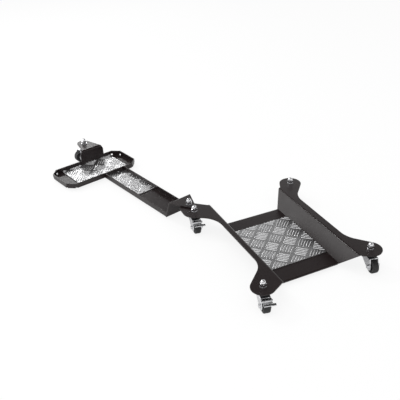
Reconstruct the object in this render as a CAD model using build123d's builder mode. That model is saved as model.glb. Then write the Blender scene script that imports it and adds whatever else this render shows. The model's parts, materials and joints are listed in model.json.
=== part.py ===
from build123d import *
import os
from math import cos, radians, sin

# Motorcycle dolly: a wheel cradle on four swivel casters and a side-stand tray on a swinging arm.
# Millimetres; +X runs along the rails to the loading end, +Y to the right rail, +Z up from the floor.

os.makedirs("parts", exist_ok=True)

# Where the middle of the cradle stands in the part's own frame
CRADLE_X = 222.8
CRADLE_Y = 116.35

# Folded sheet steel of the cradle and the brackets
SHEET = 3.0
FOLD_IN = 2.0
FOLD_OUT = SHEET + FOLD_IN

# Cradle: a trough whose walls lean outwards from the floor up to the flanges
CLEAR_WIDTH = 200.0
FLOOR_WIDTH = 155.0
PAN_FRONT = -110.5
PAN_REAR = 165.0
PAN_TOP = 13.0
PAN_LIP_BOTTOM = 8.5
WALL_BOTTOM = PAN_TOP - SHEET
FLANGE_TOP = 53.0
WALL_LEAN = (CLEAR_WIDTH - FLOOR_WIDTH) / 2 / (FLANGE_TOP - PAN_TOP)
WALL_SKIN = SHEET * (1 + WALL_LEAN**2) ** 0.5
FLANGE_FRONT_LEFT = -155.0
FLANGE_FRONT_RIGHT = -145.5
FLANGE_REAR = 210.0
LEFT_STRIP = 14.0
RIGHT_STRIP = 19.5
FRONT_LOBE = 29.0
REAR_LOBE = 28.0
FRONT_LEFT_FLANK = 60.0
REAR_LEFT_FLANK = 78.0
RIGHT_FLANK = 84.0
LOBE_SWEEP = 60.0
FRONT_LEFT_OUT = 47.7
REAR_LEFT_OUT = 46.0
FRONT_RIGHT_OUT = 41.5
REAR_RIGHT_OUT = 38.5
FRONT_LEFT_BOLT = -144.0
FRONT_RIGHT_BOLT = -153.5
REAR_LEFT_BOLT = 201.0
REAR_RIGHT_BOLT = 198.0
PIVOT_LOBE_RADIUS = 13.0
PIVOT_BULGE = (-168.0, 59.0)
PIVOT_BULGE_RADIUS = 17.0
TREAD = 2.0
TREAD_FRONT = -62.7
TREAD_REAR = 117.0

# Swinging arm, measured from its pivot; it points away along its own minus x
PIVOT_X = -176.0
PIVOT_OUT = FRONT_LEFT_OUT
ARM_TURN = 14.7
ARM_GAP = 0.2
ARM_SHEET = 2.5
ARM_WIDTH = 68.6
ARM_BOTTOM = 6.5
ARM_LIP_TOP = 21.5
RISER_NEAR = -39.0
RISER_FOOT = -55.0
PIVOT_NOSE_AT = 12.0
PIVOT_NOSE_RADIUS = 9.0
STRIP_NEAR = -197.0
TRAY_NEAR = -350.5
TRAY_FAR = -466.5
TRAY_LEFT = -147.0
TRAY_RIGHT = 82.5
TRAY_CHAMFER = 20.0
TRAY_RELIEF = 3.2
INLAY_LEFT = -109.5
INLAY_RIGHT = 53.5
PLATE_PLAY = 0.3
OUTRIGGER_BOLT = -507.0
OUTRIGGER_SIDE = -4.0
OUTRIGGER_NOSE_AT = -513.0
OUTRIGGER_NOSE = 18.0
OUTRIGGER_FOOT = 76.0
OUTRIGGER_HEAD = 64.0

# Caster, measured from its swivel axis; the wheel trails along its own plus x
WHEEL_RADIUS = 17.5
TYRE_WIDTH = 16.0
TYRE_ROUND = 3.0
RIM_RADIUS = 12.5
RIM_SKIN = 2.2
HUB_WIDTH = 17.6
BOSS_RADIUS = 5.0
WEB_HALF = 2.5
TRAIL = 18.0
AXLE_RADIUS = 2.5
AXLE_PLAY = 0.06
AXLE_HEX = 4.0
AXLE_HEAD = 3.5
AXLE_NUT = 4.0
AXLE_END = 5.5
LEG_SHEET = 2.2
LEG_GAP = 18.6
FORK_FRONT = -25.0
FORK_REAR = 20.5
CHEEK_FRONT = -20.0
CHEEK_BOTTOM = 30.0
CROWN_BOTTOM = 36.2
CROWN_TOP = 38.7
AXLE_EYE = 9.5
KINGPIN_RADIUS = 4.0
KINGPIN_PLAY = 0.06
KINGPIN_HEAD = 2.7
RACE_BOTTOM = 40.2
RACE_TOP = 44.5
RACE_RADIUS = 12.5
BALL_RADIUS = 1.5
BALL_PLAY = 0.25
BALL_RING = 7.6
BALL_COUNT = 10
STUD_RADIUS = 4.0
STUD_HOLE = 4.25

# Brake pedal over the trailing side of a wheel
BRAKE_PIN_X = 28.5
BRAKE_PIN_Z = 36.0
BRAKE_PIN_RADIUS = 1.5
BRAKE_EYE = 2.8
PIN_HEAD = 1.0
PEDAL_HALF = 8.9
PEDAL_REACH = 18.0

# Fasteners
NUT_FLATS = 13.0
NUT_HEIGHT = 15.0
NUT_HEX = 7.0
NUT_DOME = 6.1
WASHER_RADIUS = 8.0
WASHER = 1.6

# Swivel axes on the cradle: along the rail, across it, the way the wheel trails, and a brake or none
RAIL_LINE = CLEAR_WIDTH / 2
CRADLE_CASTERS = {
    "rear_left": (REAR_LEFT_BOLT, -RAIL_LINE - REAR_LEFT_OUT, 347.0, True),
    "front_left": (FRONT_LEFT_BOLT, -RAIL_LINE - FRONT_LEFT_OUT, 350.0, True),
    "rear_right": (REAR_RIGHT_BOLT, RAIL_LINE + REAR_RIGHT_OUT, 350.0, False),
    "front_right": (FRONT_RIGHT_BOLT, RAIL_LINE + FRONT_RIGHT_OUT, 347.0, False),
}
OUTRIGGER_TRAIL = 285.0

CRADLE = Plane(origin=(CRADLE_X, CRADLE_Y, 0))
ARM = Plane(
    origin=(CRADLE_X + PIVOT_X, CRADLE_Y - RAIL_LINE - PIVOT_OUT, 0),
    x_dir=(cos(radians(ARM_TURN)), sin(radians(ARM_TURN)), 0),
    z_dir=(0, 0, 1),
)


def save(piece, name):
    """Label a finished piece and write it to its own file."""
    piece.part.label = name
    export_step(piece.part, f"parts/{name}.step")


def upright(place, y=0.0):
    """Standing plane through a place: its x as seen from above, its y straight up."""
    return Plane(origin=place.from_local_coords((0, y, 0)), x_dir=place.x_dir, z_dir=-place.y_dir)


def across(side):
    """Standing plane across the cradle: its x points outwards on one side, its y straight up."""
    return Plane(origin=CRADLE.origin, x_dir=(0, side, 0), z_dir=(side, 0, 0))


def wall_face(z):
    """How far the inner face of a leaning wall stands from the middle of the cradle at a height."""
    return FLOOR_WIDTH / 2 + WALL_LEAN * (z - PAN_TOP)


def axle_plane(z):
    """Plane that holds the wheel's axle along its x, with straight up as its y."""
    return Plane(origin=(TRAIL, 0, z), x_dir=(0, 1, 0), z_dir=(1, 0, 0))


def turned(x, y, heading):
    """Level plane at a swivel axis whose x is the way the wheel trails."""
    return Plane(origin=(x, y, 0), x_dir=(cos(radians(heading)), sin(radians(heading)), 0), z_dir=(0, 0, 1))


# Cradle pan, a flat floor turned down at both ends, its sides cut to the lean of the walls
with BuildPart() as cradle_pan:
    with BuildSketch(upright(CRADLE)):
        with BuildLine():
            Polyline(
                (PAN_FRONT, PAN_LIP_BOTTOM),
                (PAN_FRONT, PAN_TOP),
                (PAN_REAR, PAN_TOP),
                (PAN_REAR, PAN_LIP_BOTTOM),
                (PAN_REAR - SHEET, PAN_LIP_BOTTOM),
                (PAN_REAR - SHEET, PAN_TOP - SHEET),
                (PAN_FRONT + SHEET, PAN_TOP - SHEET),
                (PAN_FRONT + SHEET, PAN_LIP_BOTTOM),
                close=True,
            )
        make_face()
    extrude(amount=FLOOR_WIDTH / 2, both=True)
    bends = cradle_pan.edges().filter_by(Axis.Y)
    fillet(bends.group_by(Axis.Z)[-1], radius=SHEET)
    with BuildSketch(across(1)):
        with BuildLine():
            Polyline(
                (-wall_face(PAN_TOP), PAN_TOP),
                (wall_face(PAN_TOP), PAN_TOP),
                (wall_face(PAN_LIP_BOTTOM), PAN_LIP_BOTTOM),
                (-wall_face(PAN_LIP_BOTTOM), PAN_LIP_BOTTOM),
                close=True,
            )
        make_face()
    extrude(amount=FLANGE_REAR, both=True, mode=Mode.INTERSECT)
save(cradle_pan, "cradle_pan")

# Bright tread plate lying in the pan
with BuildPart() as cradle_tread_plate:
    with BuildSketch(CRADLE.offset(PAN_TOP)):
        with Locations(((TREAD_FRONT + TREAD_REAR) / 2, 0)):
            Rectangle(TREAD_REAR - TREAD_FRONT, FLOOR_WIDTH - 2 * PLATE_PLAY)
    extrude(amount=TREAD)
save(cradle_tread_plate, "cradle_tread_plate")

# Rails: a leaning wall beside the wheel and a flange turned outwards, with a lobe over every caster
UNDER_FLANGE = FLANGE_TOP - SHEET
for rail_name, side in (("right_rail", 1), ("left_rail", -1)):
    fold_line = CRADLE_Y + side * RAIL_LINE
    outward = Plane(origin=(CRADLE_X, fold_line, FLANGE_TOP - SHEET / 2), x_dir=(1, 0, 0), z_dir=(0, 0, side))
    pivoted = side < 0
    flange_front = FLANGE_FRONT_LEFT if pivoted else FLANGE_FRONT_RIGHT
    strip = LEFT_STRIP if pivoted else RIGHT_STRIP
    front_flank = FRONT_LEFT_FLANK if pivoted else RIGHT_FLANK
    rear_flank = REAR_LEFT_FLANK if pivoted else RIGHT_FLANK
    front_bolt = (FRONT_LEFT_BOLT, FRONT_LEFT_OUT) if pivoted else (FRONT_RIGHT_BOLT, FRONT_RIGHT_OUT)
    rear_bolt = (REAR_LEFT_BOLT, REAR_LEFT_OUT) if pivoted else (REAR_RIGHT_BOLT, REAR_RIGHT_OUT)
    under_fold = (wall_face(UNDER_FLANGE) + WALL_SKIN, UNDER_FLANGE)
    with BuildPart() as rail:
        with BuildSketch(across(side)) as bent:
            with BuildLine():
                Polyline(
                    (wall_face(WALL_BOTTOM), WALL_BOTTOM),
                    (RAIL_LINE, FLANGE_TOP),
                    (RAIL_LINE + strip, FLANGE_TOP),
                    (RAIL_LINE + strip, UNDER_FLANGE),
                    under_fold,
                    (wall_face(WALL_BOTTOM) + WALL_SKIN, WALL_BOTTOM),
                    close=True,
                )
            make_face()
            corners = bent.vertices()
            fillet(corners.sort_by_distance((RAIL_LINE, FLANGE_TOP, 0))[0], radius=FOLD_OUT)
            fillet(corners.sort_by_distance((*under_fold, 0))[0], radius=FOLD_IN)
        extrude(amount=FLANGE_REAR, both=True)
        with BuildSketch(upright(CRADLE)):
            with BuildLine():
                Polyline(
                    (PAN_FRONT, WALL_BOTTOM),
                    (PAN_REAR, WALL_BOTTOM),
                    (FLANGE_REAR, FLANGE_TOP),
                    (flange_front, FLANGE_TOP),
                    close=True,
                )
            make_face()
        extrude(amount=CLEAR_WIDTH, both=True, mode=Mode.INTERSECT)
        with BuildSketch(outward):
            with BuildLine():
                Line((flange_front, FOLD_OUT), (front_bolt[0] + front_flank, FOLD_OUT))
                CenterArc(front_bolt, FRONT_LOBE, 0, 360)
                if pivoted:
                    CenterArc((PIVOT_X, PIVOT_OUT), PIVOT_LOBE_RADIUS, 0, 360)
                    CenterArc(PIVOT_BULGE, PIVOT_BULGE_RADIUS, 0, 360)
            make_hull()
        extrude(amount=SHEET / 2, both=True)
        with BuildSketch(outward):
            with BuildLine():
                Line((rear_bolt[0] - rear_flank, FOLD_OUT), (FLANGE_REAR, FOLD_OUT))
                CenterArc(rear_bolt, REAR_LOBE, 0, 360)
            make_hull()
        extrude(amount=SHEET / 2, both=True)
        notches = rail.edges().filter_by(Axis.Z).filter_by(
            lambda edge: abs(abs(edge.center().Y - fold_line) - strip) < 0.01
        )
        fillet(notches, radius=LOBE_SWEEP)
        with BuildSketch(outward):
            with Locations(front_bolt, rear_bolt):
                Circle(STUD_HOLE)
            if pivoted:
                with Locations((PIVOT_X, PIVOT_OUT)):
                    Circle(STUD_HOLE)
        extrude(amount=SHEET, both=True, mode=Mode.SUBTRACT)
    save(rail, rail_name)

# Hinge bracket of the arm: a pointed plate on the rail, folded down into a leaning riser
PIVOT_BOTTOM = FLANGE_TOP + ARM_GAP
PIVOT_TOP = PIVOT_BOTTOM + SHEET
RISER_LEAN = (RISER_NEAR - RISER_FOOT) / (PIVOT_BOTTOM - ARM_BOTTOM)
RISER_SKIN = SHEET * (1 + RISER_LEAN**2) ** 0.5
RISER_FAR_FOOT = RISER_FOOT - RISER_SKIN
RISER_FAR = RISER_FAR_FOOT + RISER_LEAN * (PIVOT_TOP - ARM_BOTTOM)
PIVOT_REACH = PIVOT_NOSE_AT + PIVOT_NOSE_RADIUS
with BuildPart() as hinge_bracket:
    with BuildSketch(upright(ARM)) as bent:
        with BuildLine():
            Polyline(
                (PIVOT_REACH, PIVOT_BOTTOM),
                (RISER_NEAR, PIVOT_BOTTOM),
                (RISER_FOOT, ARM_BOTTOM),
                (RISER_FAR_FOOT, ARM_BOTTOM),
                (RISER_FAR, PIVOT_TOP),
                (PIVOT_REACH, PIVOT_TOP),
                close=True,
            )
        make_face()
        fillet(bent.vertices().sort_by_distance((RISER_FAR, PIVOT_TOP, 0))[0], radius=FOLD_OUT)
        fillet(bent.vertices().sort_by_distance((RISER_NEAR, PIVOT_BOTTOM, 0))[0], radius=FOLD_IN)
    extrude(amount=ARM_WIDTH / 2, both=True)
    with BuildSketch(ARM.offset(ARM_BOTTOM)):
        with BuildLine():
            Line((RISER_NEAR, -ARM_WIDTH / 2), (RISER_NEAR, ARM_WIDTH / 2))
            CenterArc((PIVOT_NOSE_AT, 0), PIVOT_NOSE_RADIUS, 0, 360)
        make_hull()
        with Locations(((RISER_FAR_FOOT + RISER_NEAR) / 2, 0)):
            Rectangle(RISER_NEAR - RISER_FAR_FOOT, ARM_WIDTH)
    extrude(amount=PIVOT_TOP - ARM_BOTTOM, mode=Mode.INTERSECT)
    with BuildSketch(ARM.offset(PIVOT_BOTTOM)):
        Circle(STUD_RADIUS + KINGPIN_PLAY)
    extrude(amount=SHEET, mode=Mode.SUBTRACT)
save(hinge_bracket, "hinge_bracket")

# Arm channel: a floor with two upturned lips, from the riser to the tray
ARM_FLOOR = ARM_BOTTOM + ARM_SHEET
ARM_SPAN = RISER_NEAR - TRAY_NEAR
with BuildPart() as arm_channel:
    with BuildSketch(ARM.offset(ARM_BOTTOM)):
        with Locations((TRAY_NEAR + ARM_SPAN / 2, 0)):
            Rectangle(ARM_SPAN, ARM_WIDTH)
    extrude(amount=ARM_LIP_TOP - ARM_BOTTOM)
    with BuildSketch(ARM.offset(ARM_FLOOR)):
        with Locations((TRAY_NEAR + ARM_SPAN / 2, 0)):
            Rectangle(ARM_SPAN, ARM_WIDTH - 2 * ARM_SHEET)
    extrude(amount=ARM_LIP_TOP - ARM_FLOOR, mode=Mode.SUBTRACT)
    with BuildSketch(upright(ARM)):
        with BuildLine():
            Polyline(
                (RISER_FAR_FOOT, ARM_BOTTOM),
                (RISER_FAR, PIVOT_TOP),
                (0, PIVOT_TOP),
                (0, ARM_BOTTOM),
                close=True,
            )
        make_face()
    extrude(amount=ARM_WIDTH, both=True, mode=Mode.SUBTRACT)
    along = arm_channel.edges().filter_by(lambda edge: abs(edge.tangent_at(0.5).dot(ARM.x_dir)) > 0.999)
    fillet(along.group_by(Axis.Z)[0], radius=ARM_SHEET - 0.5)
save(arm_channel, "arm_channel")

# Bright tread strip on the outer half of the arm
with BuildPart() as arm_tread_strip:
    with BuildSketch(ARM.offset(ARM_FLOOR)):
        with Locations(((STRIP_NEAR + TRAY_NEAR) / 2, 0)):
            Rectangle(STRIP_NEAR - TRAY_NEAR, ARM_WIDTH - 2 * ARM_SHEET - 2 * PLATE_PLAY)
    extrude(amount=TREAD)
save(arm_tread_strip, "arm_tread_strip")

# Stand tray: eight-sided floor with folded lips, a relief hole at every corner and room for the bracket
TRAY_MIDDLE = ((TRAY_NEAR + TRAY_FAR) / 2, (TRAY_LEFT + TRAY_RIGHT) / 2)
TRAY_DEPTH = TRAY_NEAR - TRAY_FAR
TRAY_CORNERS = [
    (TRAY_FAR + TRAY_CHAMFER, TRAY_LEFT),
    (TRAY_NEAR - TRAY_CHAMFER, TRAY_LEFT),
    (TRAY_NEAR, TRAY_LEFT + TRAY_CHAMFER),
    (TRAY_NEAR, TRAY_RIGHT - TRAY_CHAMFER),
    (TRAY_NEAR - TRAY_CHAMFER, TRAY_RIGHT),
    (TRAY_FAR + TRAY_CHAMFER, TRAY_RIGHT),
    (TRAY_FAR, TRAY_RIGHT - TRAY_CHAMFER),
    (TRAY_FAR, TRAY_LEFT + TRAY_CHAMFER),
]
with BuildPart() as stand_tray:
    with BuildSketch(ARM.offset(ARM_BOTTOM)):
        with BuildLine():
            Polyline(*TRAY_CORNERS, close=True)
        make_face()
    extrude(amount=ARM_LIP_TOP - ARM_BOTTOM)
    rim = stand_tray.edges().group_by(Axis.Z)[0]
    fillet(rim, radius=ARM_SHEET - 0.5)
    with BuildSketch(ARM.offset(ARM_FLOOR)) as tray_hollow:
        with BuildLine():
            Polyline(*TRAY_CORNERS, close=True)
        make_face()
        offset(amount=-ARM_SHEET, mode=Mode.REPLACE)
    extrude(amount=ARM_LIP_TOP - ARM_FLOOR, mode=Mode.SUBTRACT)
    with BuildSketch(ARM.offset(ARM_BOTTOM)):
        with Locations(*tray_hollow.sketch_local.vertices()):
            Circle(TRAY_RELIEF)
    extrude(amount=ARM_FLOOR + TRAY_RELIEF - ARM_BOTTOM, mode=Mode.SUBTRACT)
    with BuildSketch(ARM.offset(ARM_BOTTOM)):
        with Locations((TRAY_FAR, OUTRIGGER_SIDE)):
            Rectangle(2 * ARM_SHEET, OUTRIGGER_FOOT + 2 * PLATE_PLAY)
    extrude(amount=ARM_LIP_TOP - ARM_BOTTOM, mode=Mode.SUBTRACT)
save(stand_tray, "stand_tray")

# Bright tread plate in the tray
with BuildPart() as tray_tread_plate:
    with BuildSketch(ARM.offset(ARM_FLOOR)):
        with Locations((TRAY_MIDDLE[0], (INLAY_LEFT + INLAY_RIGHT) / 2)):
            Rectangle(TRAY_DEPTH - 2 * ARM_SHEET - 2 * PLATE_PLAY, INLAY_RIGHT - INLAY_LEFT)
    extrude(amount=TREAD)
save(tray_tread_plate, "tray_tread_plate")

# Outrigger bracket: a plate standing at the tray's far edge, folded out over the fifth caster
BRACKET_NEAR = TRAY_FAR + ARM_SHEET
BRACKET_FAR = BRACKET_NEAR - SHEET
BRACKET_FOOT = ARM.from_local_coords((BRACKET_FAR, OUTRIGGER_SIDE, 0))
BRACKET_FACE = Plane(origin=BRACKET_FOOT, x_dir=ARM.y_dir, z_dir=ARM.x_dir)
with BuildPart() as outrigger_bracket:
    with BuildSketch(BRACKET_FACE):
        with BuildLine():
            Polyline(
                (-OUTRIGGER_FOOT / 2, ARM_BOTTOM),
                (OUTRIGGER_FOOT / 2, ARM_BOTTOM),
                (OUTRIGGER_FOOT / 2, FLANGE_TOP - SHEET * 4),
                (OUTRIGGER_HEAD / 2, FLANGE_TOP),
                (-OUTRIGGER_HEAD / 2, FLANGE_TOP),
                (-OUTRIGGER_FOOT / 2, FLANGE_TOP - SHEET * 4),
                close=True,
            )
        make_face()
    extrude(amount=SHEET)
    with BuildSketch(ARM.offset(FLANGE_TOP - SHEET)):
        with BuildLine():
            Line(
                (BRACKET_NEAR, OUTRIGGER_SIDE - OUTRIGGER_HEAD / 2),
                (BRACKET_NEAR, OUTRIGGER_SIDE + OUTRIGGER_HEAD / 2),
            )
            CenterArc((OUTRIGGER_NOSE_AT, OUTRIGGER_SIDE), OUTRIGGER_NOSE, 0, 360)
        make_hull()
    extrude(amount=SHEET)
    crosswise = outrigger_bracket.edges().filter_by(
        lambda edge: abs(edge.tangent_at(0.5).dot(ARM.y_dir)) > 0.999
    )
    fold_out = crosswise.filter_by(
        lambda edge: abs(ARM.to_local_coords(edge.center()).X - BRACKET_NEAR) < 0.01
        and abs(edge.center().Z - FLANGE_TOP) < 0.01
    )
    fillet(fold_out, radius=FOLD_OUT)
    with BuildSketch(ARM.offset(FLANGE_TOP - SHEET)):
        with Locations((OUTRIGGER_BOLT, OUTRIGGER_SIDE)):
            Circle(STUD_HOLE)
    extrude(amount=SHEET, mode=Mode.SUBTRACT)
save(outrigger_bracket, "outrigger_bracket")

# Shapes used more than once, drawn at the origin: cap nut and washer
with BuildPart() as cap_nut:
    with BuildSketch(Plane.XY):
        RegularPolygon(radius=NUT_FLATS / 2, side_count=6, major_radius=False)
    extrude(amount=NUT_HEX)
    with BuildSketch(Plane.XZ):
        with BuildLine():
            Polyline((0, 0), (NUT_FLATS / 2, 0), (NUT_FLATS / 2 + 1, 0.6), (NUT_FLATS / 2 + 1, NUT_HEX - 0.6))
            Polyline((NUT_FLATS / 2 + 1, NUT_HEX - 0.6), (NUT_FLATS / 2, NUT_HEX), (0, NUT_HEX), (0, 0))
        make_face()
    revolve(axis=Axis.Z, mode=Mode.INTERSECT)
    with BuildSketch(Plane.XY.offset(NUT_HEX)):
        Circle(NUT_DOME)
    extrude(amount=NUT_HEIGHT - NUT_HEX - NUT_DOME)
    with BuildSketch(Plane.XZ):
        with BuildLine():
            Line((0, NUT_HEIGHT), (0, NUT_HEIGHT - NUT_DOME))
            Line((0, NUT_HEIGHT - NUT_DOME), (NUT_DOME, NUT_HEIGHT - NUT_DOME))
            CenterArc((0, NUT_HEIGHT - NUT_DOME), NUT_DOME, 0, 90)
        make_face()
    revolve(axis=Axis.Z)
    with BuildSketch(Plane.XY):
        Circle(STUD_RADIUS + KINGPIN_PLAY)
    extrude(amount=NUT_HEIGHT - 4, mode=Mode.SUBTRACT)

with BuildPart() as washer:
    with BuildSketch(Plane.XY):
        Circle(WASHER_RADIUS)
        Circle(STUD_HOLE, mode=Mode.SUBTRACT)
    extrude(amount=WASHER)

# Pivot bolt from below, its washer and its cap nut
PIVOT_SEAT = PIVOT_TOP + ARM_GAP
with BuildPart() as pivot_bolt:
    with BuildSketch(ARM.offset(FLANGE_TOP - SHEET)):
        RegularPolygon(radius=NUT_FLATS / 2, side_count=6, major_radius=False)
    extrude(amount=-5.3)
    with BuildSketch(ARM.offset(FLANGE_TOP - SHEET)):
        Circle(STUD_RADIUS)
    extrude(amount=PIVOT_SEAT + WASHER + NUT_HEIGHT - 5 - FLANGE_TOP + SHEET)
save(pivot_bolt, "pivot_bolt")
with BuildPart(ARM.offset(PIVOT_SEAT)) as pivot_washer:
    add(washer.part)
save(pivot_washer, "pivot_washer")
with BuildPart(ARM.offset(PIVOT_SEAT + WASHER)) as pivot_cap_nut:
    add(cap_nut.part)
save(pivot_cap_nut, "pivot_cap_nut")

# Places of the five swivel axes
outrigger_at = ARM.from_local_coords((OUTRIGGER_BOLT, OUTRIGGER_SIDE, 0))
SWIVELS = {
    name: turned(CRADLE_X + x, CRADLE_Y + y, heading) for name, (x, y, heading, _) in CRADLE_CASTERS.items()
}
SWIVELS["outrigger"] = turned(outrigger_at.X, outrigger_at.Y, OUTRIGGER_TRAIL)
cradle_places = [SWIVELS[name] for name in CRADLE_CASTERS]

# Washers and cap nuts on the caster stems, the four of the cradle as one group
with BuildPart(*[place.offset(FLANGE_TOP) for place in cradle_places]) as cradle_washers:
    add(washer.part)
save(cradle_washers, "cradle_washers")
with BuildPart(*[place.offset(FLANGE_TOP + WASHER) for place in cradle_places]) as cradle_cap_nuts:
    add(cap_nut.part)
save(cradle_cap_nuts, "cradle_cap_nuts")
with BuildPart(SWIVELS["outrigger"].offset(FLANGE_TOP)) as outrigger_washer:
    add(washer.part)
save(outrigger_washer, "outrigger_washer")
with BuildPart(SWIVELS["outrigger"].offset(FLANGE_TOP + WASHER)) as outrigger_cap_nut:
    add(cap_nut.part)
save(outrigger_cap_nut, "outrigger_cap_nut")

# Caster stem with its swivel head, drawn at the origin
BALL_HEIGHT = (RACE_BOTTOM + CROWN_TOP) / 2
KINGPIN_FOOT = CROWN_BOTTOM - 0.3
STUD_TOP = FLANGE_TOP + WASHER + NUT_HEIGHT - 5
with BuildPart() as stem:
    with BuildSketch(Plane.XZ):
        with BuildLine():
            Polyline(
                (0, KINGPIN_FOOT - KINGPIN_HEAD),
                (KINGPIN_RADIUS + 2, KINGPIN_FOOT - KINGPIN_HEAD),
                (KINGPIN_RADIUS + 3, KINGPIN_FOOT - KINGPIN_HEAD + 1),
                (KINGPIN_RADIUS + 3, KINGPIN_FOOT),
                (KINGPIN_RADIUS, KINGPIN_FOOT),
                (KINGPIN_RADIUS, RACE_BOTTOM),
                (RACE_RADIUS, RACE_BOTTOM),
                (RACE_RADIUS, RACE_TOP - 1.5),
                (RACE_RADIUS - 3, RACE_TOP),
                (STUD_RADIUS, RACE_TOP),
                (STUD_RADIUS, STUD_TOP),
                (0, STUD_TOP),
                close=True,
            )
        make_face()
    revolve(axis=Axis.Z)
    with BuildSketch(Plane.XY.offset(RACE_TOP)):
        RegularPolygon(radius=WASHER_RADIUS, side_count=6, major_radius=False)
    extrude(amount=FLANGE_TOP - SHEET - RACE_TOP)
    with BuildSketch(Plane.XZ):
        with Locations((BALL_RING, BALL_HEIGHT)):
            Circle(BALL_RADIUS + BALL_PLAY)
    revolve(axis=Axis.Z, mode=Mode.SUBTRACT)

# Ring of bearing balls between the stem's race and the fork's crown
with BuildPart(Plane.XY.offset(BALL_HEIGHT)) as balls:
    with PolarLocations(BALL_RING, BALL_COUNT):
        Sphere(BALL_RADIUS)

# Pressed fork: a crown under the race and two legs down to the axle
LEG_MIDDLE = (LEG_GAP + LEG_SHEET) / 2
FORK_HALF = LEG_GAP / 2 + LEG_SHEET
with BuildPart() as fork:
    with BuildSketch(Plane.XY.offset(CROWN_BOTTOM)):
        with Locations(((FORK_FRONT + FORK_REAR) / 2, 0)):
            Rectangle(FORK_REAR - FORK_FRONT, 2 * FORK_HALF)
    extrude(amount=CROWN_TOP - CROWN_BOTTOM)
    for leg_y in (LEG_MIDDLE, -LEG_MIDDLE):
        with BuildSketch(upright(Plane.XY, leg_y)):
            with BuildLine():
                Line((FORK_FRONT, CROWN_TOP), (FORK_REAR, CROWN_TOP))
                Line((CHEEK_FRONT, CHEEK_BOTTOM), (FORK_REAR, CHEEK_BOTTOM))
                CenterArc((TRAIL, WHEEL_RADIUS), AXLE_EYE, 0, 360)
            make_hull()
        extrude(amount=LEG_SHEET / 2, both=True)
    shoulders = fork.edges().filter_by(Axis.X).group_by(Axis.Z)[-1]
    fillet(shoulders, radius=LEG_SHEET - 0.5)
    with BuildSketch(Plane.XY.offset(CROWN_BOTTOM)):
        Circle(KINGPIN_RADIUS + KINGPIN_PLAY)
    extrude(amount=CROWN_TOP - CROWN_BOTTOM, mode=Mode.SUBTRACT)
    with BuildSketch(Plane.XZ):
        with Locations((BALL_RING, BALL_HEIGHT)):
            Circle(BALL_RADIUS + BALL_PLAY)
    revolve(axis=Axis.Z, mode=Mode.SUBTRACT)
    with BuildSketch(upright(Plane.XY)):
        with Locations((TRAIL, WHEEL_RADIUS)):
            Circle(AXLE_RADIUS)
    extrude(amount=FORK_HALF, both=True, mode=Mode.SUBTRACT)

# The same fork with two ears that carry a brake pin
with BuildPart() as brake_fork:
    add(fork.part)
    for leg_y in (LEG_MIDDLE, -LEG_MIDDLE):
        with BuildSketch(upright(Plane.XY, leg_y)):
            with BuildLine():
                Line((TRAIL, WHEEL_RADIUS + AXLE_EYE), (TRAIL, CROWN_BOTTOM))
                CenterArc((BRAKE_PIN_X, BRAKE_PIN_Z), BRAKE_EYE, 0, 360)
            make_hull()
        extrude(amount=LEG_SHEET / 2, both=True)
    with BuildSketch(upright(Plane.XY)):
        with Locations((BRAKE_PIN_X, BRAKE_PIN_Z)):
            Circle(BRAKE_PIN_RADIUS)
    extrude(amount=FORK_HALF, both=True, mode=Mode.SUBTRACT)

# Axle bolt and its nut
with BuildPart() as axle_bolt:
    with BuildSketch(axle_plane(WHEEL_RADIUS)):
        with BuildLine():
            Polyline(
                (-FORK_HALF, 0),
                (-FORK_HALF, AXLE_RADIUS),
                (FORK_HALF + AXLE_END, AXLE_RADIUS),
                (FORK_HALF + AXLE_END, 0),
                close=True,
            )
        make_face()
    revolve(axis=Axis((TRAIL, 0, WHEEL_RADIUS), (0, 1, 0)))
    with BuildSketch(upright(Plane.XY, -FORK_HALF)):
        with Locations((TRAIL, WHEEL_RADIUS)):
            RegularPolygon(radius=AXLE_HEX, side_count=6, major_radius=False)
    extrude(amount=AXLE_HEAD)

with BuildPart() as axle_nut:
    with BuildSketch(upright(Plane.XY, FORK_HALF)):
        with Locations((TRAIL, WHEEL_RADIUS)):
            RegularPolygon(radius=AXLE_HEX, side_count=6, major_radius=False)
            Circle(AXLE_RADIUS + 0.02, mode=Mode.SUBTRACT)
    extrude(amount=-AXLE_NUT)

# Wheel hub: boss on the axle, thin web and the rim
RIM_HALF = TYRE_WIDTH / 2 - 1
with BuildPart() as hub:
    with BuildSketch(axle_plane(WHEEL_RADIUS)):
        with BuildLine():
            Polyline(
                (-HUB_WIDTH / 2, AXLE_RADIUS + AXLE_PLAY),
                (-HUB_WIDTH / 2, BOSS_RADIUS),
                (-WEB_HALF, BOSS_RADIUS + 0.6),
                (-WEB_HALF, RIM_RADIUS - RIM_SKIN - 1),
                (-RIM_HALF, RIM_RADIUS - RIM_SKIN),
                (-RIM_HALF, RIM_RADIUS),
                (RIM_HALF, RIM_RADIUS),
                (RIM_HALF, RIM_RADIUS - RIM_SKIN),
                (WEB_HALF, RIM_RADIUS - RIM_SKIN - 1),
                (WEB_HALF, BOSS_RADIUS + 0.6),
                (HUB_WIDTH / 2, BOSS_RADIUS),
                (HUB_WIDTH / 2, AXLE_RADIUS + AXLE_PLAY),
                close=True,
            )
        make_face()
    revolve(axis=Axis((TRAIL, 0, WHEEL_RADIUS), (0, 1, 0)))

# Solid tyre pressed on the rim
with BuildPart() as tyre:
    with BuildSketch(axle_plane(WHEEL_RADIUS)):
        with Locations((0, (RIM_RADIUS + WHEEL_RADIUS) / 2)):
            Rectangle(TYRE_WIDTH, WHEEL_RADIUS - RIM_RADIUS)
    revolve(axis=Axis((TRAIL, 0, WHEEL_RADIUS), (0, 1, 0)))
    shoulders = tyre.edges().filter_by(GeomType.CIRCLE).group_by(SortBy.RADIUS)[-1]
    fillet(shoulders, radius=TYRE_ROUND)

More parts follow.
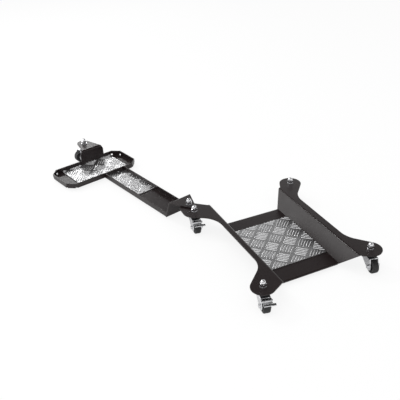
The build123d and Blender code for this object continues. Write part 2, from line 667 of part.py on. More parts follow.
# Brake pedal: rolled eye on the pin, a shoe in front of the tyre and a narrow foot tab to one side
with BuildPart() as pedal:
    with BuildSketch(upright(Plane.XY)):
        with Locations((BRAKE_PIN_X, BRAKE_PIN_Z)):
            Circle(BRAKE_EYE)
        with BuildLine():
            Polyline(
                (29.6, 34.6),
                (32.6, 30.8),
                (33.0, 29.8),
                (38.6, 29.0),
                (38.8, 31.0),
                (34.4, 31.9),
                (30.7, 36.4),
                close=True,
            )
        make_face()
    extrude(amount=PEDAL_HALF, both=True)
    with BuildSketch(upright(Plane.XY, PEDAL_REACH)):
        with BuildLine():
            Polyline((33.9, 29.7), (39.4, 28.9), (39.6, 30.8), (34.2, 31.9), close=True)
        make_face()
    extrude(amount=PEDAL_REACH - PEDAL_HALF)
    with BuildSketch(upright(Plane.XY)):
        with Locations((BRAKE_PIN_X, BRAKE_PIN_Z)):
            Circle(BRAKE_PIN_RADIUS + AXLE_PLAY)
    extrude(amount=PEDAL_HALF, both=True, mode=Mode.SUBTRACT)

# Pin of the brake pedal, headed outside both legs
with BuildPart() as brake_pin:
    with BuildSketch(upright(Plane.XY)):
        with Locations((BRAKE_PIN_X, BRAKE_PIN_Z)):
            Circle(BRAKE_PIN_RADIUS)
    extrude(amount=FORK_HALF, both=True)
    for end in (-1, 1):
        with BuildSketch(upright(Plane.XY, end * FORK_HALF)):
            with Locations((BRAKE_PIN_X, BRAKE_PIN_Z)):
                Circle(BRAKE_PIN_RADIUS + PIN_HEAD)
        extrude(amount=-end * PIN_HEAD)

# The five casters, each piece set at its own swivel axis
for name, place in SWIVELS.items():
    braked = name in CRADLE_CASTERS and CRADLE_CASTERS[name][3]
    pieces = {
        "stem": stem,
        "balls": balls,
        "fork": brake_fork if braked else fork,
        "axle_bolt": axle_bolt,
        "axle_nut": axle_nut,
        "hub": hub,
        "tyre": tyre,
    }
    if braked:
        pieces["brake_pedal"] = pedal
        pieces["brake_pin"] = brake_pin
    for kind, shape in pieces.items():
        with BuildPart(place) as caster_piece:
            add(shape.part)
        save(caster_piece, f"{name}_{kind}")
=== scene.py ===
"""Studio scene of a motorcycle dolly: finishes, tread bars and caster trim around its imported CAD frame."""

import json
import logging
from dataclasses import dataclass
from enum import Enum
from math import atan2, cos, pi, radians, sin
from typing import Any

import bpy
from mathutils import Matrix, Vector

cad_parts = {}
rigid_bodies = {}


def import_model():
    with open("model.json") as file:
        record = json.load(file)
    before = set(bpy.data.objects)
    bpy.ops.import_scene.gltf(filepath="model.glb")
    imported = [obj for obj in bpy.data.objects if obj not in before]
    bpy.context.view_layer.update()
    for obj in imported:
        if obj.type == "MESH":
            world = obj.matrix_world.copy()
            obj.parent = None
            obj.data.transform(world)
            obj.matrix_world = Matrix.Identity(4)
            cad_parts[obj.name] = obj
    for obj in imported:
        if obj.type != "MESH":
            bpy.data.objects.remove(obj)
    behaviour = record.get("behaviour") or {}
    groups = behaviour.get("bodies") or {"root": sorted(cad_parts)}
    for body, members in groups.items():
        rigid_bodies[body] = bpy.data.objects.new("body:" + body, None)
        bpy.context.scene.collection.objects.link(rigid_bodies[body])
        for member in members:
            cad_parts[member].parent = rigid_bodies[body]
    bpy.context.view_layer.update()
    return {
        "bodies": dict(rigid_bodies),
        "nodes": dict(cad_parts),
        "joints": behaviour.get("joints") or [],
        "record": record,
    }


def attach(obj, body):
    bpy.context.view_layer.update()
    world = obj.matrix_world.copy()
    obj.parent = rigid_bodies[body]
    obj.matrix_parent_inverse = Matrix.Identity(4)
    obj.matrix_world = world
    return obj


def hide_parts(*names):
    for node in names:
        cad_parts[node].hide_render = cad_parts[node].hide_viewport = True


LOG = logging.getLogger("dolly")
MM = 0.001
# Degrees that the side arm stands turned from the cradle at rest
ARM_TURN = 14.7
# Centres of one tread cell, in millimetres: on the cradle, and from the pivot in the arm's own axes
CRADLE_CELL = (208.3, 90.65)
ARM_CELLS = {"tray_tread_plate": (-409.4, -15.8), "arm_tread_strip": (-316.9, 11.8)}

Point = tuple[float, float, float]


class Slot(Enum):
    """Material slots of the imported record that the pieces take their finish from."""

    POWDER = "powder_coat"
    TREAD = "tread_aluminium"
    ZINC = "bright_zinc"
    BALLS = "bearing_steel"
    CORE = "wheel_core"
    TYRE = "tyre_rubber"


class Lie(Enum):
    """Which way a group of tread bars lies against the plate's own axes."""

    RISING = 45.0
    FALLING = -45.0


def linear(code: str) -> tuple[float, float, float, float]:
    """Turn an sRGB hex colour into linear RGBA.

    Args:
        code: colour such as "#1a2b3c".

    Returns:
        Linear red, green, blue and an alpha of one.
    """
    parts = [int(code[i : i + 2], 16) / 255 for i in (1, 3, 5)]
    flat = [p / 12.92 if p <= 0.04045 else ((p + 0.055) / 1.055) ** 2.4 for p in parts]
    return flat[0], flat[1], flat[2], 1.0


def add_node(
    tree: bpy.types.NodeTree, kind: str, inputs: dict[Any, Any] | None = None, **settings: Any
) -> bpy.types.Node:
    """Add a node, set its options, and link or fill its inputs.

    Args:
        tree: node tree that takes the node.
        kind: Blender's type name of the node.
        inputs: socket name or index to a value, or to the output socket that feeds it.
        **settings: node properties by name.

    Returns:
        The new node.
    """
    node = tree.nodes.new(kind)
    for key, value in settings.items():
        setattr(node, key, value)
    for key, value in (inputs or {}).items():
        if isinstance(value, bpy.types.NodeSocket):
            tree.links.new(value, node.inputs[key])
        else:
            node.inputs[key].default_value = value
    return node


def per_metre(size_mm: float) -> float:
    """Texture scale at which a pattern repeats about once in the given millimetres."""
    return 1.0 / (size_mm * MM)


@dataclass(frozen=True)
class Finish:
    """A surface finish: two close tones, a gloss range and a fine relief.

    The two tones and the gloss drift over drift_mm, streaked along the part's x where stretch is above one.
    The relief repeats over relief_mm and stands relief_depth_mm high.
    """

    name: str
    tone: str
    second_tone: str
    gloss: tuple[float, float]
    drift_mm: float
    relief_mm: float
    relief_depth_mm: float
    relief_strength: float = 0.3
    stretch: float = 1.0
    metallic: float = 0.0
    ior: float = 1.5
    specular: float = 0.5

    # Part of the noise's range over which the gloss runs from its least to its most
    DRIFT_BAND = (0.3, 0.7)

    def build(self) -> bpy.types.Material:
        """Make the material.

        Returns:
            A node material on Object coordinates.
        """
        material = bpy.data.materials.new(self.name)
        material.use_nodes = True
        tree = material.node_tree
        shader = tree.nodes["Principled BSDF"]
        shader.inputs["Metallic"].default_value = self.metallic
        if not self.metallic:
            shader.inputs["IOR"].default_value = self.ior
            shader.inputs["Specular IOR Level"].default_value = self.specular
        where = add_node(tree, "ShaderNodeTexCoord").outputs["Object"]
        scale = (1.0, self.stretch, self.stretch)
        drawn = add_node(tree, "ShaderNodeMapping", {"Vector": where, "Scale": scale})
        drift = add_node(
            tree,
            "ShaderNodeTexNoise",
            {
                "Vector": drawn.outputs["Vector"],
                "Scale": per_metre(self.drift_mm),
                "Detail": 4.0,
                "Roughness": 0.6,
            },
        )
        tone = add_node(
            tree,
            "ShaderNodeMix",
            {0: drift.outputs["Fac"], 6: linear(self.tone), 7: linear(self.second_tone)},
            data_type="RGBA",
        )
        gloss = add_node(
            tree,
            "ShaderNodeMapRange",
            {
                "Value": drift.outputs["Fac"],
                "From Min": self.DRIFT_BAND[0],
                "From Max": self.DRIFT_BAND[1],
                "To Min": self.gloss[0],
                "To Max": self.gloss[1],
            },
        )
        grain = add_node(
            tree,
            "ShaderNodeTexNoise",
            {"Vector": drawn.outputs["Vector"], "Scale": per_metre(self.relief_mm), "Detail": 2.0},
        )
        relief = add_node(
            tree,
            "ShaderNodeBump",
            {
                "Height": grain.outputs["Fac"],
                "Strength": self.relief_strength,
                "Distance": self.relief_depth_mm * MM,
            },
        )
        tree.links.new(tone.outputs[2], shader.inputs["Base Color"])
        tree.links.new(gloss.outputs["Result"], shader.inputs["Roughness"])
        tree.links.new(relief.outputs["Normal"], shader.inputs["Normal"])
        return material


# Polyester powder coat on folded steel: near-black, semi-gloss, with the soft orange peel of a baked coat
POWDER_COAT = Finish(
    "powder_coated_steel",
    tone="#1b1314",
    second_tone="#211919",
    gloss=(0.26, 0.34),
    drift_mm=70.0,
    relief_mm=2.2,
    relief_depth_mm=0.05,
    relief_strength=0.12,
    specular=0.38,
)
# Mill-finish aluminium of the plate between its bars: greyed by handling and streaked along the roll, with
# rolling lines drawn coarser than real ones so that they show
TREAD_BASE = Finish(
    "rolled_aluminium",
    tone="#b9b9ba",
    second_tone="#cfcfd0",
    gloss=(0.26, 0.36),
    drift_mm=26.0,
    relief_mm=1.6,
    relief_depth_mm=0.04,
    stretch=4.0,
    metallic=1.0,
)
# Tops of the bars, worn bright by feet and tyres
TREAD_BARS = Finish(
    "worn_aluminium_bars",
    tone="#d6d6d7",
    second_tone="#e8e8e9",
    gloss=(0.24, 0.34),
    drift_mm=12.0,
    relief_mm=1.2,
    relief_depth_mm=0.03,
    stretch=2.0,
    metallic=1.0,
)
# Bright zinc plating on pressed steel: pale, almost neutral, faintly cloudy from the bath
BRIGHT_ZINC = Finish(
    "bright_zinc_plate",
    tone="#d0d1d3",
    second_tone="#e4e4e6",
    gloss=(0.18, 0.3),
    drift_mm=9.0,
    relief_mm=0.9,
    relief_depth_mm=0.02,
    relief_strength=0.2,
    metallic=1.0,
)
# Nickel-plated cap nuts and washers, polished before plating
CAP_NICKEL = Finish(
    "nickel_plated_nuts",
    tone="#d8d8da",
    second_tone="#e8e8ea",
    gloss=(0.1, 0.18),
    drift_mm=6.0,
    relief_mm=0.8,
    relief_depth_mm=0.01,
    relief_strength=0.1,
    metallic=1.0,
)
# Through-hardened bearing balls with a film of grease
BALL_STEEL = Finish(
    "bearing_steel",
    tone="#9c9da0",
    second_tone="#b4b5b8",
    gloss=(0.1, 0.2),
    drift_mm=4.0,
    relief_mm=0.6,
    relief_depth_mm=0.01,
    relief_strength=0.1,
    metallic=1.0,
)
# Moulded black nylon of the wheel cores, with the dull sheen of the mould; on the dust caps its black is
# painted shade under the flange lobes
NYLON = Finish(
    "moulded_nylon",
    tone="#202123",
    second_tone="#292a2c",
    gloss=(0.38, 0.5),
    drift_mm=14.0,
    relief_mm=0.7,
    relief_depth_mm=0.03,
    ior=1.53,
    specular=0.45,
)
# Solid black rubber tyre, matt from its mould, with greyer scuffs
RUBBER = Finish(
    "solid_rubber",
    tone="#181819",
    second_tone="#242425",
    gloss=(0.5, 0.66),
    drift_mm=11.0,
    relief_mm=0.8,
    relief_depth_mm=0.05,
    ior=1.52,
    specular=0.4,
)

NODE_FINISH: dict[Slot, Finish] = {
    Slot.POWDER: POWDER_COAT,
    Slot.TREAD: TREAD_BASE,
    Slot.ZINC: BRIGHT_ZINC,
    Slot.BALLS: BALL_STEEL,
    Slot.CORE: NYLON,
    Slot.TYRE: RUBBER,
}


class Paintshop:
    """Keeps one Blender material for each finish."""

    def __init__(self) -> None:
        """Start with no materials made."""
        self.made: dict[str, bpy.types.Material] = {}

    def coat(self, obj: bpy.types.Object, finish: Finish) -> None:
        """Give an object one finish all over.

        Args:
            obj: mesh object to coat.
            finish: the finish it gets.
        """
        if finish.name not in self.made:
            self.made[finish.name] = finish.build()
        obj.data.materials.clear()
        obj.data.materials.append(self.made[finish.name])


def clear_selection() -> None:
    """Deselect everything."""
    for other in bpy.context.selected_objects:
        other.select_set(False)


def only(obj: bpy.types.Object) -> None:
    """Make one object the only selected one, and the active one.

    Args:
        obj: object to select.
    """
    clear_selection()
    obj.select_set(True)
    bpy.context.view_layer.objects.active = obj


def edit_all(obj: bpy.types.Object) -> None:
    """Enter edit mode on an object with all of it selected.

    Args:
        obj: mesh object to edit.
    """
    only(obj)
    bpy.ops.object.mode_set(mode="EDIT")
    bpy.ops.mesh.select_all(action="SELECT")


def leave_edit() -> None:
    """Return to object mode."""
    bpy.ops.object.mode_set(mode="OBJECT")


def settle(obj: bpy.types.Object) -> None:
    """Put an object's place into its mesh."""
    only(obj)
    bpy.ops.object.transform_apply(location=True, rotation=True, scale=True)


def smooth(obj: bpy.types.Object, angle: float = 35.0) -> None:
    """Shade an object smooth across edges flatter than the angle in degrees."""
    only(obj)
    bpy.ops.object.shade_smooth_by_angle(angle=radians(angle))


def keep_flats(obj: bpy.types.Object) -> None:
    """Let the large faces of a smooth object set its normals, so that they stay flat up to each fold.

    Args:
        obj: smooth mesh object.
    """
    only(obj)
    flats = obj.modifiers.new("flats", "WEIGHTED_NORMAL")
    flats.mode = "FACE_AREA"
    flats.weight = 100
    flats.keep_sharp = True
    bpy.ops.object.modifier_apply(modifier=flats.name)


def copy_of(obj: bpy.types.Object, name: str) -> bpy.types.Object:
    """Copy an object with a mesh of its own.

    Args:
        obj: object to copy.
        name: name of the copy.

    Returns:
        The copy, linked to the scene.
    """
    twin = bpy.data.objects.new(name, obj.data.copy())
    bpy.context.scene.collection.objects.link(twin)
    return twin


def drop(obj: bpy.types.Object) -> None:
    """Remove a pattern object and its mesh.

    Args:
        obj: object that has been copied and is no longer needed.
    """
    mesh = obj.data
    bpy.data.objects.remove(obj)
    bpy.data.meshes.remove(mesh)


def apply_array(obj: bpy.types.Object, count: int, step: Point) -> None:
    """Repeat an object's mesh at a constant step.

    Args:
        obj: object to repeat.
        count: number of copies in all.
        step: offset from one copy to the next, in metres.
    """
    only(obj)
    row = obj.modifiers.new("row", "ARRAY")
    row.use_relative_offset = False
    row.use_constant_offset = True
    row.constant_offset_displace = step
    row.count = count
    bpy.ops.object.modifier_apply(modifier=row.name)


def apply_bevel(obj: bpy.types.Object, width_mm: float, segments: int, angle: float = 40.0) -> None:
    """Round an object's edges that are sharper than an angle.

    Args:
        obj: object to round.
        width_mm: bevel width.
        segments: steps across the bevel.
        angle: least angle of an edge that is rounded, in degrees.
    """
    only(obj)
    edge = obj.modifiers.new("edge", "BEVEL")
    edge.width = width_mm * MM
    edge.segments = segments
    edge.limit_method = "ANGLE"
    edge.angle_limit = radians(angle)
    bpy.ops.object.modifier_apply(modifier=edge.name)


def turned_ring(name: str, profile: list[tuple[float, float]], segments: int = 48) -> bpy.types.Object:
    """Turn a closed profile about +Z by extruding a ring of edges and bridging its ends.

    Args:
        name: name of the ring.
        profile: radius and height of each corner in millimetres, in order round the section.
        segments: faces round the ring.

    Returns:
        The ring, standing on the origin's axis.
    """
    clear_selection()
    radius, height = profile[0]
    bpy.ops.mesh.primitive_circle_add(vertices=segments, radius=radius * MM, location=(0, 0, height * MM))
    ring = bpy.context.active_object
    ring.name = name
    settle(ring)
    edit_all(ring)
    for (r0, z0), (r1, z1) in zip(profile, profile[1:]):
        bpy.ops.mesh.extrude_region_move(TRANSFORM_OT_translate={"value": (0, 0, (z1 - z0) * MM)})
        bpy.ops.transform.resize(value=(r1 / r0, r1 / r0, 1.0))
    bpy.ops.mesh.select_all(action="DESELECT")
    bpy.ops.mesh.select_mode(type="EDGE")
    bpy.ops.mesh.select_non_manifold()
    bpy.ops.mesh.bridge_edge_loops()
    bpy.ops.mesh.select_all(action="SELECT")
    bpy.ops.mesh.normals_make_consistent(inside=False)
    leave_edit()
    smooth(ring)
    return ring


@dataclass
class SheetMetal:
    """Folded sheet whose cut edges are rounded a little by the coat that covers them."""

    frame: dict[str, Any]
    shop: Paintshop
    edge_mm: float = 0.6
    steps: int = 2
    weld_mm: float = 0.002
    flat_degrees: float = 0.3

    NODES = (
        "cradle_pan",
        "left_rail",
        "right_rail",
        "hinge_bracket",
        "arm_channel",
        "stand_tray",
        "outrigger_bracket",
    )

    def build(self) -> None:
        """Stand a softened copy in for every folded sheet of the frame."""
        bodies = self.frame["record"]["behaviour"]["bodies"]
        for node in self.NODES:
            body = next(name for name, members in bodies.items() if node in members)
            piece = copy_of(self.frame["nodes"][node], f"{node}_coated")
            edit_all(piece)
            bpy.ops.mesh.remove_doubles(threshold=self.weld_mm * MM)
            bpy.ops.mesh.dissolve_limited(angle_limit=radians(self.flat_degrees))
            leave_edit()
            apply_bevel(piece, self.edge_mm, self.steps)
            smooth(piece)
            keep_flats(piece)
            self.shop.coat(piece, POWDER_COAT)
            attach(piece, body)
            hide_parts(node)
            LOG.info("%s: %d faces", piece.name, len(piece.data.polygons))


@dataclass
class TreadField:
    """Raised five-bar pattern of one tread plate, trimmed at the plate's edges."""

    node: str
    body: str
    turn: float
    cell_at: tuple[float, float]
    pitch_mm: float = 51.1
    bars: int = 5
    bar_gap_mm: float = 6.5
    bar_length_mm: float = 33.0
    bar_width_mm: float = 4.8
    bar_height_mm: float = 0.95
    sink_mm: float = 0.15
    corners: int = 14
    trim_mm: float = 0.2
    smooth_degrees: float = 50.0

    # Share of the height, and what is left of the length and width, at each tier of a bar
    TIERS = ((0.65, 0.93, 0.72), (0.35, 0.86, 0.42))

    def axes(self) -> tuple[Vector, Vector]:
        """Unit vectors along and across the plate."""
        a = radians(self.turn)
        return Vector((cos(a), sin(a), 0)), Vector((-sin(a), cos(a), 0))

    def edges(self, plate: bpy.types.Object) -> tuple[list[float], list[float], float]:
        """Measure the plate in its own axes.

        Args:
            plate: the CAD node of the plate.

        Returns:
            Lowest and highest place along it, the same across it, and the height of its top.
        """
        along, across = self.axes()
        corners = [vertex.co for vertex in plate.data.vertices]
        u = [corner.dot(along) for corner in corners]
        v = [corner.dot(across) for corner in corners]
        return [min(u), max(u)], [min(v), max(v)], max(corner.z for corner in corners)

    def bar(self) -> bpy.types.Object:
        """Model one almond-shaped bar along x, its foot on the plane z = 0.

        Returns:
            The bar.
        """
        clear_selection()
        bpy.ops.mesh.primitive_circle_add(vertices=self.corners, radius=0.5 * MM, fill_type="NGON")
        bar = bpy.context.active_object
        edit_all(bar)
        bpy.ops.transform.resize(value=(self.bar_length_mm, self.bar_width_mm, 1.0))
        lift = self.bar_height_mm * MM
        for share, length, width in self.TIERS:
            bpy.ops.mesh.extrude_region_move(TRANSFORM_OT_translate={"value": (0, 0, lift * share)})
            bpy.ops.transform.resize(value=(length, width, 1.0))
        leave_edit()
        return bar

    def group(self, lie: Lie, counts: tuple[int, int], start: Vector) -> bpy.types.Object:
        """Repeat a bar into cells that all lie one way, over the whole plate.

        Args:
            lie: which way the bars lie.
            counts: cells along and across the plate.
            start: centre of the first cell.

        Returns:
            All the bars of that lie as one object.
        """
        along, across = self.axes()
        cells = self.bar()
        apply_array(cells, self.bars, (0, self.bar_gap_mm * MM, 0))
        middle = Matrix.Translation((0, -(self.bars - 1) / 2 * self.bar_gap_mm * MM, 0))
        cells.data.transform(Matrix.Rotation(radians(self.turn + lie.value), 4, "Z") @ middle)
        apply_array(cells, counts[0], tuple(along * self.pitch_mm * MM))
        apply_array(cells, counts[1], tuple(across * self.pitch_mm * MM))
        cells.data.transform(Matrix.Translation(start))
        return cells

    def build(self, frame: dict[str, Any], shop: Paintshop) -> None:
        """Make the plate's bars, trim them to it, and set them on it.

        Args:
            frame: the loaded CAD frame.
            shop: keeper of the materials.
        """
        along, across = self.axes()
        (u0, u1), (v0, v1), top = self.edges(frame["nodes"][self.node])
        step = self.pitch_mm * MM
        cell = Vector((self.cell_at[0] * MM, self.cell_at[1] * MM, 0))
        # The cells start beyond the plate's low edges and end beyond its high ones, and are trimmed below
        back = [int((cell.dot(a) - low) / step) + 1 for a, low in ((along, u0), (across, v0))]
        counts = (int((u1 - u0) / step) + 3, int((v1 - v0) / step) + 3)
        first = cell - along * back[0] * step - across * back[1] * step
        first.z = top - self.sink_mm * MM
        half = (along + across) * step / 2
        field = self.group(Lie.RISING, counts, first)
        other = self.group(Lie.FALLING, counts, first - half)
        only(field)
        other.select_set(True)
        bpy.ops.object.join()
        field.name = f"{self.node}_bars"
        field.data.name = field.name
        edit_all(field)
        for axis, low, high in ((along, u0, u1), (across, v0, v1)):
            for place, outward in ((low, -1), (high, 1)):
                bpy.ops.mesh.select_all(action="SELECT")
                bpy.ops.mesh.bisect(
                    plane_co=axis * (place - outward * self.trim_mm * MM),
                    plane_no=axis * outward,
                    use_fill=True,
                    clear_outer=True,
                )
        leave_edit()
        smooth(field, self.smooth_degrees)
        shop.coat(field, TREAD_BARS)
        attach(field, self.body)
        LOG.info("%s: %d faces", field.name, len(field.data.polygons))


@dataclass
class CasterTrim:
    """Black dust caps over the swivel races, their black put there as painted shade under the flange lobes,
    and ribs in the wheel cores.
    """

    frame: dict[str, Any]
    shop: Paintshop
    cap_profile: tuple[tuple[float, float], ...] = (
        (13.8, 39.2),
        (13.8, 43.0),
        (13.2, 44.2),
        (12.2, 44.9),
        (9.6, 45.7),
        (9.6, 44.9),
        (12.7, 43.2),
        (12.7, 39.2),
    )
    rib_count: int = 6
    rib_from_mm: float = 5.2
    rib_to_mm: float = 9.7
    rib_foot_mm: float = 2.3
    rib_top_mm: float = 6.2
    rib_thick_mm: float = 1.4
    rib_edge_mm: float = 0.3

    def places(self) -> dict[str, tuple[str, Vector, Vector, Vector]]:
        """Read each caster's place from the joints.

        Returns:
            Caster name to the body that carries it, its swivel point, its axle point and its axle's way.
        """
        found = {}
        joints = {j["name"]: j for j in self.frame["joints"]}
        for name, joint in joints.items():
            if name.endswith("_swivel_turn"):
                caster = name.removesuffix("_swivel_turn")
                spin = joints[f"{caster}_wheel_spin"]
                axle = (Vector(spin["pos_m"]), Vector(spin["axis"]))
                found[caster] = (joint["parent"], Vector(joint["pos_m"]), *axle)
        return found

    def ribs(self) -> bpy.types.Object:
        """Model the ribs of one wheel about the y axis, both faces.

        Returns:
            The ribs as one object at the origin.
        """
        pieces = []
        length = self.rib_to_mm - self.rib_from_mm
        height = self.rib_top_mm - self.rib_foot_mm
        for face in (1, -1):
            for i in range(self.rib_count):
                clear_selection()
                bpy.ops.mesh.primitive_cube_add(size=1.0)
                rib = bpy.context.active_object
                edit_all(rib)
                bpy.ops.transform.resize(value=(length * MM, height * MM, self.rib_thick_mm * MM))
                bpy.ops.mesh.bevel(offset=self.rib_edge_mm * MM, segments=2)
                leave_edit()
                out = Vector((self.rib_from_mm + length / 2, face * (self.rib_foot_mm + height / 2), 0))
                spoke = Matrix.Rotation(i * 2 * pi / self.rib_count, 4, "Y")
                rib.data.transform(spoke @ Matrix.Translation(out * MM))
                pieces.append(rib)
        only(pieces[0])
        for rib in pieces[1:]:
            rib.select_set(True)
        bpy.ops.object.join()
        return pieces[0]

    def build(self) -> None:
        """Copy the trim to every caster."""
        cap = turned_ring("dust_cap_for_shade", list(self.cap_profile))
        ribs = self.ribs()
        for caster, (carrier, swivel, axle, axis) in self.places().items():
            # Each cap's black stands in for the shade under its flange lobe: painted shade on a cap's shape
            lid = copy_of(cap, f"{caster}_dust_cap_for_shade")
            lid.data.transform(Matrix.Translation((swivel.x, swivel.y, 0)))
            self.shop.coat(lid, NYLON)
            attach(lid, carrier)
            star = copy_of(ribs, f"{caster}_hub_ribs")
            heading = atan2(axis.y, axis.x) - pi / 2
            star.data.transform(Matrix.Translation(axle) @ Matrix.Rotation(heading, 4, "Z"))
            smooth(star)
            self.shop.coat(star, NYLON)
            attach(star, f"{caster}_wheel")
            LOG.info("%s caster dressed", caster)
        drop(cap)
        drop(ribs)


@dataclass(frozen=True)
class SoftBox:
    """One soft box of the studio: where it hangs, its width and height in metres, and its power."""

    name: str
    at: Point
    size: tuple[float, float]
    watts: float

    def hang(self) -> None:
        """Hang the box so that it looks at the dolly's middle."""
        data = bpy.data.lights.new(self.name, "AREA")
        data.shape = "RECTANGLE"
        data.size, data.size_y = self.size
        data.energy = self.watts
        box = bpy.data.objects.new(self.name, data)
        box.location = self.at
        box.rotation_euler = Vector(self.at).to_track_quat("Z", "Y").to_euler()
        bpy.context.scene.collection.objects.link(box)


SOFT_BOXES = (
    SoftBox("strip_box", (-1.56, -0.98, 2.0), (0.4, 0.4), 13.0),
    SoftBox("top_box", (0.6, -0.9, 2.6), (2.4, 2.4), 26.0),
    SoftBox("side_box", (-1.45, -1.85, 0.5), (1.6, 0.8), 8.0),
    SoftBox("back_box", (-2.33, 0.2, 1.0), (0.5, 0.18), 2.3),
)


def kinds_of_ray(tree: bpy.types.NodeTree) -> tuple[Any, Any]:
    """Tell the rays that see the background from those that carry its light.

    Args:
        tree: node tree that takes the nodes.

    Returns:
        A socket that is one for camera rays, and one that is one for glossy and transmission rays.
    """
    ray = add_node(tree, "ShaderNodeLightPath")
    mirrored = add_node(
        tree,
        "ShaderNodeMath",
        {0: ray.outputs["Is Glossy Ray"], 1: ray.outputs["Is Transmission Ray"]},
        operation="MAXIMUM",
    )
    return ray.outputs["Is Camera Ray"], mirrored.outputs[0]


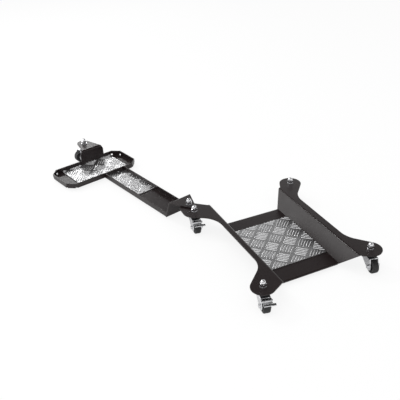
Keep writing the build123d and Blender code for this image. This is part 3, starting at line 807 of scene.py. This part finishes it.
@dataclass
class Studio:
    """Pale floor, soft light and the photograph's camera.

    The floor's glow is its share of plain white, seen directly and in mirrors. Mirrors see a white backdrop
    that fades into the ceiling over fade, and a ceiling that dims to a share of itself over dusk. Both are
    given as the sine of the height above the horizon.
    """

    eye: Point = (1.3173, -0.55465, 0.871)
    right: Point = (0.47563, 0.87965, 0.0)
    down: Point = (0.44545, -0.24086, -0.86230)
    lens_mm: float = 56.17
    sensor_mm: float = 36.0
    shift: tuple[float, float] = (-0.1137, 0.0)
    clip: tuple[float, float] = (0.05, 60.0)
    floor_width: float = 14.0
    floor_tone: str = "#f6f6f6"
    floor_glow: float = 0.86
    mirror_glow: float = 0.2
    room_light: float = 0.72
    fade: tuple[float, float] = (0.42, 0.54)
    ceiling: float = 0.2
    dusk: tuple[float, float] = (0.54, 0.74)
    zenith: float = 0.25

    def camera(self) -> None:
        """Set the camera where the photograph was taken from."""
        lens = bpy.data.cameras.new("photo_camera")
        lens.lens = self.lens_mm
        lens.sensor_width = self.sensor_mm
        lens.shift_x, lens.shift_y = self.shift
        lens.clip_start, lens.clip_end = self.clip
        camera = bpy.data.objects.new("photo_camera", lens)
        x = Vector(self.right).normalized()
        y = -Vector(self.down).normalized()
        z = x.cross(y)
        turn = Matrix((x, y, z)).transposed().to_4x4()
        camera.matrix_world = Matrix.Translation(self.eye) @ turn
        bpy.context.scene.collection.objects.link(camera)
        bpy.context.scene.camera = camera

    def floor(self) -> None:
        """Lay a pale floor under the wheels that the camera sees nearly white, with a faint shadow."""
        clear_selection()
        bpy.ops.mesh.primitive_plane_add(size=self.floor_width, location=(0, 0, 0))
        floor = bpy.context.active_object
        floor.name = "studio_floor"
        material = bpy.data.materials.new("pale_paper_floor")
        material.use_nodes = True
        tree = material.node_tree
        tree.nodes.clear()
        paper = add_node(tree, "ShaderNodeBsdfDiffuse", {"Color": linear(self.floor_tone)})
        white = add_node(tree, "ShaderNodeEmission", {"Color": linear("#ffffff"), "Strength": 1.0})
        camera, mirrored = kinds_of_ray(tree)
        strong = add_node(tree, "ShaderNodeMath", {0: camera, 1: self.floor_glow}, operation="MULTIPLY")
        faint = add_node(tree, "ShaderNodeMath", {0: mirrored, 1: self.mirror_glow}, operation="MULTIPLY")
        shares = {0: strong.outputs[0], 1: faint.outputs[0]}
        glow = add_node(tree, "ShaderNodeMath", shares, operation="MAXIMUM")
        layers = {0: glow.outputs[0], 1: paper.outputs[0], 2: white.outputs[0]}
        both = add_node(tree, "ShaderNodeMixShader", layers)
        add_node(tree, "ShaderNodeOutputMaterial", {"Surface": both.outputs[0]})
        floor.data.materials.append(material)

    def room(self) -> None:
        """Light the room evenly, white to the camera, with a backdrop and a dimmer ceiling in mirrors."""
        world = bpy.data.worlds.new("white_room")
        bpy.context.scene.world = world
        world.use_nodes = True
        tree = world.node_tree
        tree.nodes.clear()
        camera, mirrored = kinds_of_ray(tree)
        where = add_node(tree, "ShaderNodeTexCoord").outputs["Generated"]
        way = add_node(tree, "ShaderNodeSeparateXYZ", {0: where})
        height = add_node(
            tree,
            "ShaderNodeMapRange",
            {
                "Value": way.outputs["Z"],
                "From Min": self.fade[0],
                "From Max": self.fade[1],
                "To Min": 1.0,
                "To Max": self.ceiling,
            },
            interpolation_type="SMOOTHSTEP",
        )
        above = add_node(
            tree,
            "ShaderNodeMapRange",
            {
                "Value": way.outputs["Z"],
                "From Min": self.dusk[0],
                "From Max": self.dusk[1],
                "To Min": 1.0,
                "To Max": self.zenith,
            },
        )
        shares = {0: height.outputs["Result"], 1: above.outputs["Result"]}
        dimmed = add_node(tree, "ShaderNodeMath", shares, operation="MULTIPLY")
        white = linear("#ffffff")
        light = add_node(tree, "ShaderNodeBackground", {"Color": white, "Strength": self.room_light})
        mirror = add_node(tree, "ShaderNodeBackground", {"Color": white, "Strength": dimmed.outputs[0]})
        plain = add_node(tree, "ShaderNodeBackground", {"Color": white, "Strength": 1.0})
        carried = {0: mirrored, 1: light.outputs[0], 2: mirror.outputs[0]}
        lit = add_node(tree, "ShaderNodeMixShader", carried)
        seen = add_node(tree, "ShaderNodeMixShader", {0: camera, 1: lit.outputs[0], 2: plain.outputs[0]})
        add_node(tree, "ShaderNodeOutputWorld", {"Surface": seen.outputs[0]})

    def build(self) -> None:
        """Set up the whole studio."""
        self.camera()
        self.floor()
        self.room()
        for box in SOFT_BOXES:
            box.hang()
        bpy.context.scene.view_settings.view_transform = "Standard"


def dress_nodes(frame: dict[str, Any], shop: Paintshop) -> None:
    """Give every CAD node the finish of its slot.

    Args:
        frame: the loaded CAD frame.
        shop: keeper of the materials.
    """
    slots = {s["node"]: Slot(s["material_slot"]) for s in frame["record"]["subparts"]}
    for node, obj in frame["nodes"].items():
        finish = NODE_FINISH[slots[node]]
        if node.endswith(("cap_nut", "cap_nuts", "washer", "washers")):
            finish = CAP_NICKEL
        shop.coat(obj, finish)


def main() -> None:
    """Load the frame and build every sub-assembly."""
    logging.basicConfig(level=logging.INFO, format="%(name)s: %(message)s")
    for leftover in list(bpy.data.objects):
        bpy.data.objects.remove(leftover)
    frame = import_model()
    shop = Paintshop()
    Studio().build()
    dress_nodes(frame, shop)
    SheetMetal(frame, shop).build()
    TreadField("cradle_tread_plate", "cradle", 0.0, CRADLE_CELL).build(frame, shop)
    pivot = Vector(next(j["pos_m"] for j in frame["joints"] if j["name"] == "arm_pivot")) / MM
    turn = Matrix.Rotation(radians(ARM_TURN), 3, "Z")
    for node, cell in ARM_CELLS.items():
        at = pivot + turn @ Vector((*cell, 0))
        TreadField(node, "side_arm", ARM_TURN, (at.x, at.y)).build(frame, shop)
    CasterTrim(frame, shop).build()


if __name__ == "__main__":
    main()
